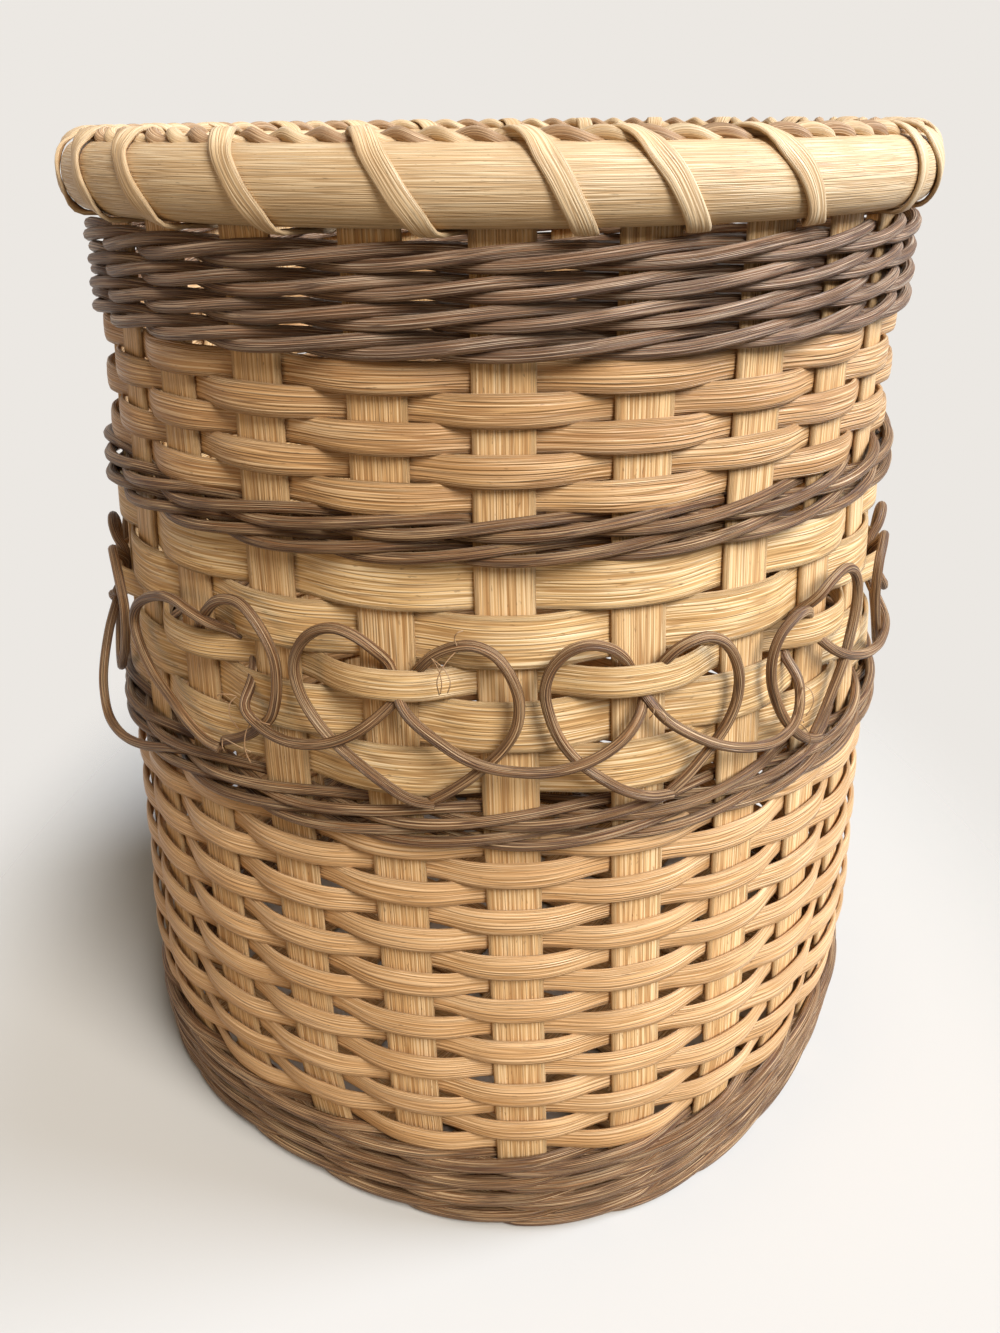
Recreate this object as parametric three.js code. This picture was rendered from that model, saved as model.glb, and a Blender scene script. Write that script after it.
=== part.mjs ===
// A tall round waste basket woven from reed, in millimetres, +Z up.
// The origin is at the middle of the base, on the surface that the basket stands on.
// Twelve flat strips are woven into a square base, six each way, and both ends of each turn up
// as stakes, so the wall has twenty-four stakes. Weavers, waled rods, dyed curls and a lashed rim
// go round them.
// Places on the wall are given as an angle round the basket, a height, and a distance outward from
// the middle of the stakes. The function wallPoint turns such a place into x, y and z.
import * as THREE from "three";

// Stakes and base
const stripsEachWay = 6;
const stakeWidth = 15.9;
const stakeThickness = 1.6;
const baseEdgeRadius = 6;

// Wall: the radius of the middle of the stakes where its slope changes, which is at the floor, three
// rows up, below and above the hearts and in the top wale
const footRadius = 137.5;
const bellyRadius = 142;
const waistRadius = 137.6;
const shoulderRadius = 133.6;
const neckRadius = 129.5;
const bellyRow = 3;
// How far the corners of the square base still push the foot of the wall out, as a share of it
const squareShare = 0.014;
const squareCorners = 4;

// Courses, from the floor up
const firstCourseHeight = 4.4;
const footRodDiameter = 4.7;
const footRodPitch = 5.05;
const footWaleTurns = 6;
const lowerRows = 15;
const lowerRowPitch = 8.4;
const lowerRodDiameter = 3.3;
const lowerRodPitch = 3.6;
const lowerWaleTurns = 4;
const wideRowPitch = 15.6;
const narrowRowPitch = 9.4;
const middleRodDiameter = 3.7;
const middleRodPitch = 4.05;
const middleWaleTurns = 3;
const upperRows = 5;
const upperRowPitch = 7.85;
const topRodDiameter = 3.85;
const topRodPitch = 4.2;
const topWaleTurns = 7;

// Weavers
const ovalThickness = 2.2;
const ovalCrownShare = 0.62;
const flatThickness = 1.8;
const rowGap = 0.3;

// Dyed curls that make the hearts
const curlDiameter = 3.3;
const heartReachAngle = 12.8;
const heartRise = 15.5;
const heartDrop = 31;
const swagDrop = 19;
const legAngle = 1.6;
const tipAngle = 0.5;

// Rim
const rimGap = 2.6;
const rimHeight = 19.5;
const outerBandThickness = 9.5;
const innerBandThickness = 5.9;
const bandCrown = 4.2;
const bandCrownHeight = 5.2;
const rimSides = 48;
const fillerWidth = 7;
const fillerHeight = 2;
const lashingWidth = 6.4;
const lashingThickness = 1.6;
const lashingLeanAngle = 4.5;
const lashingTopAngle = 2;
const lashingUnderAngle = 1;
const rimBackAngle = 120;

// Clearance between touching pieces, and the wider one that lets a weaver bend past a stake
const clearance = 0.3;
const weaveClearance = 0.5;

const stakeCount = stripsEachWay * 4;
const stakeSpacing = 360 / stakeCount;
const courseStart = 8;

const material = (color, roughness) =>
  new THREE.MeshStandardMaterial({ color, roughness, metalness: 0, flatShading: true });
const tanReed = () => material(0xcfa468, 0.62);
const paleReed = () => material(0xdcc08c, 0.58);
const brownReed = () => material(0x6f523d, 0.66);

const basket = new THREE.Group();
basket.name = "woven_basket";

function addPiece(name, geometry, reed) {
  geometry.computeVertexNormals();
  const mesh = new THREE.Mesh(geometry, reed);
  mesh.name = name;
  basket.add(mesh);
  return mesh;
}

const degrees = (angle) => THREE.MathUtils.degToRad(angle);
const stakeAngle = (index) => (index + 0.5) * stakeSpacing;

// The courses stack up from the floor, so the height of the wall follows from them.
const footWaleTop = firstCourseHeight + footWaleTurns * footRodPitch;
const lowerWeaveTop = footWaleTop + lowerRows * lowerRowPitch;
const lowerWaleTop = lowerWeaveTop + lowerWaleTurns * lowerRodPitch;
const wideRowsBelow = 2;
const wideRowsAbove = 2;
const narrowRowBottom = lowerWaleTop + wideRowsBelow * wideRowPitch;
const narrowRowTop = narrowRowBottom + narrowRowPitch;
const heartZoneTop = narrowRowTop + wideRowsAbove * wideRowPitch;
const middleWaleTop = heartZoneTop + middleWaleTurns * middleRodPitch;
const upperWeaveTop = middleWaleTop + upperRows * upperRowPitch;
const topWaleTop = upperWeaveTop + topWaleTurns * topRodPitch;
const rimBottom = topWaleTop + rimGap;
const rimTop = rimBottom + rimHeight;

// The side view of the wall, from the foot to the end of the stakes
const wallOutline = [
  new THREE.Vector2(footRadius, 0),
  new THREE.Vector2(bellyRadius, footWaleTop + bellyRow * lowerRowPitch),
  new THREE.Vector2(waistRadius, lowerWaleTop),
  new THREE.Vector2(shoulderRadius, heartZoneTop),
  new THREE.Vector2(neckRadius, (upperWeaveTop + topWaleTop) / 2),
  new THREE.Vector2(neckRadius, rimTop),
];

function wallRadius(angle, height) {
  const above = wallOutline.findIndex((point, i) => i > 0 && point.y >= height);
  const upper = wallOutline.at(above);
  const lower = wallOutline.at(above - 1);
  const share = (height - lower.y) / (upper.y - lower.y);
  const round = THREE.MathUtils.lerp(lower.x, upper.x, share);
  const square = squareShare * (1 - height / rimTop);
  return round * (1 - square * Math.cos(squareCorners * degrees(angle)));
}

function wallPoint(angle, height, out) {
  const radius = wallRadius(angle, height) + out;
  return new THREE.Vector3(
    radius * Math.cos(degrees(angle)),
    radius * Math.sin(degrees(angle)),
    height,
  );
}

// Bends a straight bar of so many lengths: corner(i, side, face) places each of the four corners,
// side and face being 1 or -1, of cross-section i.
function bentBar(lengths, corner) {
  const bar = new THREE.BoxGeometry(1, 1, 1, lengths, 1, 1);
  const position = bar.getAttribute("position");
  for (let v = 0; v < position.count; v++) {
    const section = Math.round((position.getX(v) + 0.5) * lengths);
    const place = corner(section, 2 * position.getY(v), 2 * position.getZ(v));
    position.setXYZ(v, place.x, place.y, place.z);
  }
  return bar;
}

// Revolves a closed outline of (out, height) points and lets shape(angle) add to its distance out.
function ring(outline, sides, shape) {
  const closed = [...outline, outline[0]].reverse();
  const lathe = new THREE.LatheGeometry(closed, sides);
  const position = lathe.getAttribute("position");
  for (let v = 0; v < position.count; v++) {
    const point = closed[v % closed.length];
    const angle = stakeAngle(0) + (360 * Math.floor(v / closed.length)) / sides;
    const place = wallPoint(angle, point.y, point.x + shape(angle));
    position.setXYZ(v, place.x, place.y, place.z);
  }
  return lathe;
}

// How far a weaver goes out and in at the stakes. Its straight run from the front of one stake to the
// back of the next has to miss the edges of both: reachOut and reachIn are how far from the
// middle of a stake it must still be frontNeed and backNeed away from the wall's middle.
function weaveDepth(radius, reachOut, frontNeed, reachIn, backNeed) {
  const turn = degrees(stakeSpacing);
  const run = radius * Math.sin(turn);
  const drop = radius * (1 - Math.cos(turn));
  const outShare = reachOut / run;
  const inShare = reachIn / run;
  const front = frontNeed + outShare * drop;
  const back = backNeed - inShare * drop;
  const cross = Math.cos(turn);
  const scale = (1 - outShare) * (1 - inShare) - outShare * inShare * cross * cross;
  return {
    out: ((1 - inShare) * front + outShare * cross * back) / scale,
    in: ((1 - outShare) * back + inShare * cross * front) / scale,
  };
}

function plainDepth(height, thickness) {
  const need = (stakeThickness + thickness) / 2 + weaveClearance;
  const reach = stakeWidth / 2;
  return weaveDepth(wallRadius(0, height), reach, need, reach, need);
}

// The stakes: one strip runs up the wall, across the base and up the other side. On the base it goes
// over and under the six strips that cross it, and it turns up round the edge of the base.
const edgeLifts = [22, 62];
const lowLevel = stakeThickness / 2;
const highLevel = lowLevel + stakeThickness + clearance;
const stripAngle = (index) => stakeAngle(index - stripsEachWay / 2);
const stripOffset = (index) =>
  wallRadius(stripAngle(index), baseEdgeRadius) * Math.sin(degrees(stripAngle(index)));

// Each section is a function that places one corner, side and face being 1 or -1.
function crossingSections(index) {
  const sections = [];
  for (let other = 0; other < stripsEachWay; other++) {
    const level = (other + index) % 2 === 0 ? highLevel : lowLevel;
    for (const edge of [-1, 1]) {
      sections.push((side, face) => new THREE.Vector3(
        stripOffset(other) + (edge * stakeWidth) / 2,
        stripOffset(index) + (side * stakeWidth) / 2,
        level + (face * stakeThickness) / 2,
      ));
    }
  }
  return sections;
}

function edgeSection(index, lift) {
  const angle = stripAngle(index);
  const turned = degrees(lift);
  const rest = wallRadius(angle, baseEdgeRadius) - baseEdgeRadius;
  const middle = rest + baseEdgeRadius * Math.sin(turned);
  const width = stakeWidth * THREE.MathUtils.lerp(1, Math.cos(degrees(angle)), lift / 90);
  return (side, face) => {
    const across = stripOffset(index) + (side * width) / 2;
    const bend = Math.asin(across / middle);
    const radius = middle - ((face * stakeThickness) / 2) * Math.sin(turned);
    const fall = (baseEdgeRadius - (face * stakeThickness) / 2) * Math.cos(turned);
    const height = lowLevel + baseEdgeRadius - fall;
    return new THREE.Vector3(radius * Math.cos(bend), radius * Math.sin(bend), height);
  };
}

function wallSection(index, height) {
  const angle = stripAngle(index);
  const half = THREE.MathUtils.radToDeg(Math.asin(stakeWidth / 2 / wallRadius(angle, height)));
  return (side, face) => wallPoint(angle + side * half, height, (-face * stakeThickness) / 2);
}

function stripSections(index) {
  const stakeEnd = rimTop - clearance;
  const heights = wallOutline.slice(1, -1).map((point) => point.y);
  const end = [
    ...edgeLifts.map((lift) => edgeSection(index, lift)),
    ...[1.4 * baseEdgeRadius, ...heights, stakeEnd].map((height) => wallSection(index, height)),
  ];
  const farEnd = end.map((section) => (side, face) => {
    const corner = section(side, face);
    corner.x = -corner.x;
    return corner;
  });
  return [...farEnd.reverse(), ...crossingSections(index), ...end];
}

for (const [letter, turn] of [["x", 0], ["y", Math.PI / 2]]) {
  for (let index = 0; index < stripsEachWay; index++) {
    const sections = stripSections(index);
    const strip = bentBar(sections.length - 1, (i, side, face) => sections[i](side, face));
    addPiece(`stake_strip_${letter}${index + 1}`, strip, tanReed()).rotation.z = turn;
  }
}

// Plain weave: each weaver is a closed hoop, over one stake and under the next.
function weaver(name, bottom, pitch, thickness, crown, evenOutside, depth, reed) {
  const low = bottom + rowGap / 2;
  const high = bottom + pitch - rowGap / 2;
  const middle = (low + high) / 2;
  const half = ((high - low) / 2) * crown;
  const outline = [
    new THREE.Vector2(-thickness / 2, low),
    new THREE.Vector2(-thickness / 2, high),
    new THREE.Vector2(thickness / 2, middle + half),
    new THREE.Vector2(thickness / 2, middle - half),
  ];
  const weave = (angle) => {
    const stake = Math.round(angle / stakeSpacing - 0.5);
    const outside = (stake % 2 === 0) === evenOutside;
    return outside ? depth.out : -depth.in;
  };
  return addPiece(name, ring(outline, stakeCount, weave), reed);
}

const twoDigits = (number) => String(number).padStart(2, "0");

for (let row = 0; row < lowerRows; row++) {
  const bottom = footWaleTop + row * lowerRowPitch;
  const depth = plainDepth(bottom + lowerRowPitch / 2, ovalThickness);
  const name = `lower_weaver_${twoDigits(row + 1)}`;
  weaver(name, bottom, lowerRowPitch, ovalThickness, ovalCrownShare, row % 2 === 1, depth, tanReed());
}

for (let row = 0; row < upperRows; row++) {
  const bottom = middleWaleTop + row * upperRowPitch;
  const depth = plainDepth(bottom + upperRowPitch / 2, ovalThickness);
  const name = `upper_weaver_${row + 1}`;
  weaver(name, bottom, upperRowPitch, ovalThickness, ovalCrownShare, row % 2 === 1, depth, tanReed());
}

// The heart zone: two wide flat weavers, the narrow one that holds the curls, and two more wide ones.
function wideWeaver(number, bottom, evenOutside) {
  const depth = plainDepth(bottom + wideRowPitch / 2, flatThickness);
  const name = `wide_weaver_${number}`;
  weaver(name, bottom, wideRowPitch, flatThickness, 1, evenOutside, depth, paleReed());
}
wideWeaver(1, lowerWaleTop, false);
wideWeaver(2, lowerWaleTop + wideRowPitch, true);
wideWeaver(3, narrowRowTop, true);
wideWeaver(4, narrowRowTop + wideRowPitch, false);

const narrowRadius = wallRadius(0, narrowRowBottom);
const legReach = narrowRadius * Math.sin(degrees(legAngle)) + curlDiameter / 2;
const holdNeed = (stakeThickness + ovalThickness) / 2 + weaveClearance;
const narrowDepth = weaveDepth(
  narrowRadius,
  legReach,
  holdNeed + curlDiameter + weaveClearance,
  stakeWidth / 2,
  holdNeed,
);
weaver(
  "narrow_weaver",
  narrowRowBottom,
  narrowRowPitch,
  ovalThickness,
  ovalCrownShare,
  false,
  narrowDepth,
  paleReed(),
);

// Waling: a dyed rod winds over two stakes and under one. Each turn is level, steps up at the back
// and moves the pattern on by one stake, so the rods lie slantwise as in a three-rod wale.
function wale(name, bottom, turns, pitch, diameter) {
  const depth = plainDepth(bottom, diameter);
  const half = diameter / 2;
  const rod = bentBar(turns * stakeCount - 1, (i, side, face) => {
    const turn = Math.floor(i / stakeCount);
    const behind = (i - turn) % 3 === 0;
    const out = behind ? -depth.in : depth.out;
    const height = bottom + (turn + 0.5) * pitch;
    const sideways = (half * (side + face)) / 2;
    const upward = (half * (side - face)) / 2;
    return wallPoint(stakeAngle(courseStart + i), height + upward, out + sideways);
  });
  addPiece(name, rod, brownReed());
}
wale("wale_bottom", firstCourseHeight, footWaleTurns, footRodPitch, footRodDiameter);
wale("wale_lower", lowerWeaveTop, lowerWaleTurns, lowerRodPitch, lowerRodDiameter);
wale("wale_middle", heartZoneTop, middleWaleTurns, middleRodPitch, middleRodDiameter);
wale("wale_top", upperWeaveTop, topWaleTurns, topRodPitch, topRodDiameter);

// Hearts: each curl starts at the tip of one heart, makes its left lobe, tucks under the narrow
// weaver, swags across to the next heart, tucks again and makes the right lobe there.
const heartSpacing = 2 * stakeSpacing;
const curlSeat = clearance + curlDiameter / 2;
const tuckedOut = stakeThickness / 2 + curlSeat;
const crossedOut = tuckedOut + curlDiameter + weaveClearance;
const overWide = plainDepth(narrowRowBottom, flatThickness).out + flatThickness / 2 + curlSeat;
const swagOut = overWide + 0.62 * curlDiameter;
const heartTip = narrowRowBottom - heartDrop;

function curlPath(crossingOut) {
  const place = (angle, height, out) => ({ angle, height, out });
  return [
    place(-tipAngle, heartTip, overWide),
    place(-0.5 * heartReachAngle, heartTip + 0.27 * heartDrop, 0.64 * overWide),
    place(-0.9 * heartReachAngle, heartTip + 0.66 * heartDrop, 0.8 * overWide),
    place(-heartReachAngle, narrowRowBottom + 0.12 * heartRise, 0.88 * overWide),
    place(-0.87 * heartReachAngle, narrowRowBottom + 0.78 * heartRise, 0.88 * overWide),
    place(-0.6 * heartReachAngle, narrowRowBottom + heartRise, 0.77 * overWide),
    place(-0.3 * heartReachAngle, narrowRowBottom + 0.78 * heartRise, 0.62 * overWide),
    place(-legAngle, narrowRowTop - weaveClearance, tuckedOut),
    place(-0.8 * legAngle, narrowRowBottom - curlDiameter / 4, tuckedOut),
    place(0, narrowRowBottom - 0.26 * swagDrop, crossingOut),
    place(0.34 * stakeSpacing, narrowRowBottom - 0.7 * swagDrop, 0.97 * swagOut),
  ];
}

function heartCurl(number, angle) {
  const swag = { angle: stakeSpacing, height: narrowRowBottom - swagDrop, out: swagOut };
  const right = curlPath(tuckedOut).map((p) => ({ ...p, angle: heartSpacing - p.angle }));
  const path = [...curlPath(crossedOut), swag, ...right.reverse()];
  const points = path.map((p) => wallPoint(angle + p.angle, p.height, p.out));
  const half = curlDiameter / 2;
  const rod = bentBar(points.length - 1, (i, side, face) => {
    const along = new THREE.Vector3().subVectors(
      points[Math.min(i + 1, points.length - 1)],
      points[Math.max(i - 1, 0)],
    );
    const around = degrees(angle + path[i].angle);
    const outward = new THREE.Vector3(Math.cos(around), Math.sin(around), 0);
    const across = new THREE.Vector3().crossVectors(along, outward).normalize();
    return points[i]
      .clone()
      .addScaledVector(across, (half * (side + face)) / 2)
      .addScaledVector(outward, (half * (side - face)) / 2);
  });
  addPiece(`heart_curl_${twoDigits(number)}`, rod, brownReed());
}
for (let heart = 0; heart < stakeCount / 2; heart++) {
  heartCurl(heart + 1, stakeAngle(1) + heart * heartSpacing);
}

// Rim: two bands hold the ends of the stakes between them.
const stakeHalfAngle = Math.asin(stakeWidth / 2 / neckRadius);
const sideShare = Math.cos(Math.PI / rimSides);
const outerBandInside = (neckRadius + stakeThickness / 2 + clearance) / sideShare;
const outerBandOutside = outerBandInside + outerBandThickness;
const innerBandOutside = (neckRadius - stakeThickness / 2) * Math.cos(stakeHalfAngle) - clearance;
const innerBandInside = innerBandOutside - innerBandThickness;

function rimBand(name, outline) {
  const fromWall = outline.map(([radius, height]) => new THREE.Vector2(radius - neckRadius, height));
  addPiece(name, ring(fromWall, rimSides, () => 0), paleReed());
}

// The outer band is flat inside and crowned outside; the inner one is a plain flat strip.
rimBand("rim_band_outer", [
  [outerBandInside, rimBottom],
  [outerBandInside, rimTop],
  [outerBandOutside - bandCrown, rimTop],
  [outerBandOutside, rimTop - bandCrownHeight],
  [outerBandOutside, rimBottom + bandCrownHeight],
  [outerBandOutside - bandCrown, rimBottom],
]);
rimBand("rim_band_inner", [
  [innerBandInside, rimBottom],
  [innerBandInside, rimTop],
  [innerBandOutside, rimTop],
  [innerBandOutside, rimBottom],
]);

// The filler cord lies on the bands over the ends of the stakes.
const fillerBottom = rimTop + clearance;
const fillerTop = fillerBottom + fillerHeight;
const fillerOutline = [
  new THREE.Vector2(-fillerWidth / 2, fillerBottom),
  new THREE.Vector2(-fillerWidth / 4, fillerTop),
  new THREE.Vector2(fillerWidth / 4, fillerTop),
  new THREE.Vector2(fillerWidth / 2, fillerBottom),
];
addPiece("rim_filler", ring(fillerOutline, rimSides, () => 0), paleReed());

// The lashing winds round the whole rim once for each stake, through the gaps between the stakes.
const lashingSeat = clearance + lashingThickness / 2;
const lashingOuter = outerBandOutside - neckRadius + lashingSeat;
const lashingInner = innerBandInside - neckRadius - lashingSeat;
const lashingSlope = (fillerHeight + clearance) / -lashingInner;
const lashingPeak = fillerTop + lashingSeat + (lashingSlope * fillerWidth) / 3;
const lashingWrap = [
  { angle: 0, height: rimBottom - lashingSeat, out: lashingOuter, face: [1, -1] },
  { angle: lashingLeanAngle, height: rimTop + lashingSeat, out: lashingOuter, face: [1, 0.5] },
  { angle: lashingLeanAngle + lashingTopAngle, height: lashingPeak, out: 0, face: [0, 1] },
  {
    angle: lashingLeanAngle + 2 * lashingTopAngle,
    height: rimTop + lashingSeat,
    out: lashingInner,
    face: [-1, 0.5],
  },
  {
    angle: stakeSpacing - lashingUnderAngle,
    height: rimBottom - lashingSeat,
    out: lashingInner,
    face: [-1, -1],
  },
];
const lashingCorners = lashingWrap.length;
const lashing = bentBar(stakeCount * lashingCorners - 1, (i, side, face) => {
  const wrap = Math.floor(i / lashingCorners);
  const bend = lashingWrap[i % lashingCorners];
  const angle = rimBackAngle - wrap * stakeSpacing - bend.angle;
  const half = (face * lashingThickness) / 2;
  const place = wallPoint(angle, bend.height + half * bend.face[1], bend.out + half * bend.face[0]);
  const along = new THREE.Vector3(-Math.sin(degrees(angle)), Math.cos(degrees(angle)), 0);
  return place.addScaledVector(along, (-side * lashingWidth) / 2);
});
addPiece("rim_lashing", lashing, paleReed());

export default basket;
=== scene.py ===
# %% [markdown]
# # A woven waste basket
#
# The basket is made only of reed: flat strips for the stakes, oval and flat weavers, dyed round
# rods and a lashed rim. A maker soaks a straight reed until it is soft, bends it round the others
# and lets it dry. This script does the same. Each reed starts as a straight bar from a few bmesh
# operators, and every point of it is then moved to its place on the wall, so grain and ridges run
# along the reed whatever way it turns.

import math
import random

import bmesh
import bpy
import numpy as np
from mathutils import Matrix, Vector


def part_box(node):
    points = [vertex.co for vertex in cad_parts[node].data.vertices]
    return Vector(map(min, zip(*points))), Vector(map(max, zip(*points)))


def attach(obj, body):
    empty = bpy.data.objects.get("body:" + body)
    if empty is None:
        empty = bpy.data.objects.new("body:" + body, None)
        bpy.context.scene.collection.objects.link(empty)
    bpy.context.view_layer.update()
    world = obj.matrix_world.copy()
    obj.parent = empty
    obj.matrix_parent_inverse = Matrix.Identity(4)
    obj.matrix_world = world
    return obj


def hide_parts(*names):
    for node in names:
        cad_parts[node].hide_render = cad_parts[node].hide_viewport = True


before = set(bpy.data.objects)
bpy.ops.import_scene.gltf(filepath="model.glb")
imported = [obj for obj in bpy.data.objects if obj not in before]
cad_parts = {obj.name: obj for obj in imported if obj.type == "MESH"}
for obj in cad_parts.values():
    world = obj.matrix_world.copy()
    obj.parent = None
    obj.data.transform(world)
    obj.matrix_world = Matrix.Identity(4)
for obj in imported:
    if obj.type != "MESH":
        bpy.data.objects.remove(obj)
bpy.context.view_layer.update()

# %% [markdown]
# ## Measures
#
# The drawing of the basket is in millimetres and Blender works in metres, so lengths are kept in
# millimetres and multiplied by `MM` where a point is placed. The heights of the courses are read
# from the boxes of the CAD pieces, so the weave always fits them.

# %% Heights of the courses
MM = 0.001
STAKE_COUNT = 24
STAKE_SPACING = 360 / STAKE_COUNT
STAKE_WIDTH = 17.0
STAKE_THICKNESS = 1.6


def heights(node):
    """Lowest and highest point of a CAD piece, in millimetres."""
    low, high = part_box(node)
    return low.z / MM, high.z / MM


RIM_BOTTOM, RIM_TOP = heights("rim_band_outer")
foot_top = heights("lower_weaver_01")[0]
row_pitch = heights("lower_weaver_02")[0] - foot_top
waist = heights("wide_weaver_1")[0]
shoulder = heights("wide_weaver_4")[1]
neck = sum(heights("wale_top")) / 2
levels = (foot_top, waist, shoulder, neck, RIM_TOP)
print("foot, waist, shoulder, neck, rim at", [round(level, 1) for level in levels], "mm")

# %% [markdown]
# ## Places on the wall
#
# A place on the wall is an angle round the basket, a height, and a distance out from the middle of
# the stakes. No maker spaces twenty-four stakes quite evenly or keeps them quite upright, so each
# stake stands a degree or so from its even place, by one amount at the foot and another at the rim.
# The wall between two stakes follows them both, so weavers and rods still cross every stake in the
# right place. The stakes that the camera sees, numbers 16 to 23, have their leans from the picture.

# %% Wall measures
CAMERA_SIDE = -54  # degrees round the basket from +X to the side that faces the camera
WALL_HEIGHTS = [0, foot_top + 3 * row_pitch, waist, shoulder, neck, RIM_TOP + 20]
WALL_RADII = [136.2, 142, 137.4, 133.0, 130.2, 130.2]
WALL_SQUARE, FOOT_SQUARE, FOOT_ZONE = 0.01, 0.02, 90
SWAY, SWAY_FROM, SWAY_OVER = (1.5, 1.1, 0), 240, 80
REAR_DROOP = 3.2
LEAN_FROM, LEAN_OVER = 40, 250
STAKE_ANGLES = (np.arange(STAKE_COUNT) + 0.5) * STAKE_SPACING
stray = np.random.default_rng(7)
foot_lean = stray.uniform(-0.8, 0.8, STAKE_COUNT)
rim_lean = stray.uniform(-0.9, 0.9, STAKE_COUNT)
foot_lean[16:24] = [0.8, 1.8, 1.8, 1.5, 0.8, 1.4, 0.6, 0.0]
rim_lean[16:24] = [0.3, -1.6, -1.8, -0.9, -1.3, 0.1, 0.8, 0.3]


def lean(angle, height):
    """How far, in degrees, the stakes near an angle stand from their even places."""
    foot = np.interp(angle, STAKE_ANGLES, foot_lean, period=360)
    rim = np.interp(angle, STAKE_ANGLES, rim_lean, period=360)
    return foot + (rim - foot) * np.clip((height - LEAN_FROM) / LEAN_OVER, -0.2, 1.2)


def wall_radius(angle, height):
    """Radius of the middle of the stakes. The foot is a little square, from the woven base."""
    wall = WALL_SQUARE * np.clip(1 - height / RIM_TOP, 0, 1)
    foot = FOOT_SQUARE * np.clip(1 - height / FOOT_ZONE, 0, 1)
    around = 4 * np.radians(angle)
    return np.interp(height, WALL_HEIGHTS, WALL_RADII) * (1 - (wall + foot) * np.cos(around))


def sway(height):
    """The neck and rim stand a little to one side of the foot."""
    return np.multiply.outer(np.clip((height - SWAY_FROM) / SWAY_OVER, 0, 1), SWAY)


def droop(angle, height):
    """The courses sit a little lower at the back, and most at the rim."""
    behind = (1 - np.cos(np.radians(angle - CAMERA_SIDE))) / 2
    return REAR_DROOP * behind * np.clip(height / RIM_TOP, 0, 1)


def about_axis(radius, turn, height):
    """Points at that radius, turned by radians about the axis of the basket."""
    return np.stack([radius * np.cos(turn), radius * np.sin(turn), height], axis=-1)


def wall_points(angle, height, out):
    """Points at those angles (degrees), heights and distances out (millimetres)."""
    angle, height, out = np.broadcast_arrays(angle, height, out)
    radius = wall_radius(angle, height) + out
    turn = np.radians(angle + lean(angle, height))
    height = height - droop(angle, height)
    return about_axis(radius, turn, height) + sway(height)


def stake_angle(index):
    return (index + 0.5) * STAKE_SPACING


radii = [round(float(wall_radius(0, height)), 1) for height in (0, waist, RIM_TOP)]
print("radius at the foot, waist and rim", radii, "mm")

# %% [markdown]
# ## A straight reed
#
# `create_circle` makes the outline of a reed and `spin`, with an angle of nought and a step along
# X, draws it out into a bar of quads. Each corner of a face also gets its place on the reed, as a
# UV map called `reed`: how far along, and how far round. The materials read that map, so fibres
# follow the reed. A bar is drawn once for each number of steps and sides, and every reed with those
# numbers starts from it.

# %% Straight reed
straight_reeds = {}


def straight_reed(steps, sides):
    """A straight bar along X from 0 to 1, with a round outline of radius 1 in Y and Z.

    Gives its mesh, its points and its UV map."""
    if (steps, sides) in straight_reeds:
        return straight_reeds[steps, sides]
    bm = bmesh.new()
    place = bm.loops.layers.uv.new("reed")
    upright = Matrix.Rotation(math.pi / 2, 4, "Y")
    bmesh.ops.create_circle(bm, segments=sides, radius=1, matrix=upright)
    ring = bm.verts[:] + bm.edges[:]
    step = (1 / steps, 0, 0)
    bmesh.ops.spin(bm, geom=ring, steps=steps, angle=0, axis=(1, 0, 0), cent=(0, 0, 0), dvec=step)
    for face in bm.faces:
        turns = [math.atan2(loop.vert.co.z, loop.vert.co.y) for loop in face.loops]
        for loop, turn in zip(face.loops, turns):
            if turn - min(turns) > math.pi:
                turn -= 2 * math.pi
            loop[place].uv = (loop.vert.co.x, turn / (2 * math.pi))
    reed = bpy.data.meshes.new("straight reed")
    bm.to_mesh(reed)
    bm.free()
    points = np.empty(len(reed.vertices) * 3)
    reed.vertices.foreach_get("co", points)
    grain = np.empty(len(reed.loops) * 2)
    reed.uv_layers["reed"].uv.foreach_get("vector", grain)
    print("straight reed of", steps, "steps and", sides, "sides:", len(reed.polygons), "faces")
    straight_reeds[steps, sides] = reed, points.reshape(-1, 3), grain.reshape(-1, 2)
    return straight_reeds[steps, sides]


# %% [markdown]
# ## Bending it
#
# To bend a reed, its outline is first squeezed to the real section, and a function then says where
# each point of the bar goes: `place(along, across, depth)`, from its share of the length, and its
# distance across and up the section. A hoop's two ends meet, so they are merged. An open reed gets
# its ends filled. A different starting place in the UV map gives each reed its own stretch of
# fibres, as if cut from a different plant.

# %% Bend a reed
FIBRE_FIELD = 900  # each reed's stretch of fibres starts somewhere in so many millimetres
random.seed(24)


def bend_reed(bm, steps, sides, length, outline, place, closed):
    """Adds one reed to bm, bent by place and length millimetres long."""
    reed, points, grain = straight_reed(steps, sides)
    along, y, z = points.T
    across, depth = outline(y, z)
    reed.vertices.foreach_set("co", (place(along, across, depth) * MM).ravel())
    girth = 2 * (np.ptp(across) + np.ptp(depth))
    start = random.uniform(0, FIBRE_FIELD), random.uniform(0, FIBRE_FIELD)
    grain = grain * (length, girth) + start
    reed.uv_layers["reed"].uv.foreach_set("vector", grain.ravel())
    bm.from_mesh(reed)
    if closed:
        ends = [vert for vert in bm.verts if vert.is_boundary]
        bmesh.ops.remove_doubles(bm, verts=ends, dist=1e-6)
    else:
        ends = [edge for edge in bm.edges if edge.is_boundary]
        bmesh.ops.holes_fill(bm, edges=ends, sides=0)


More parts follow.
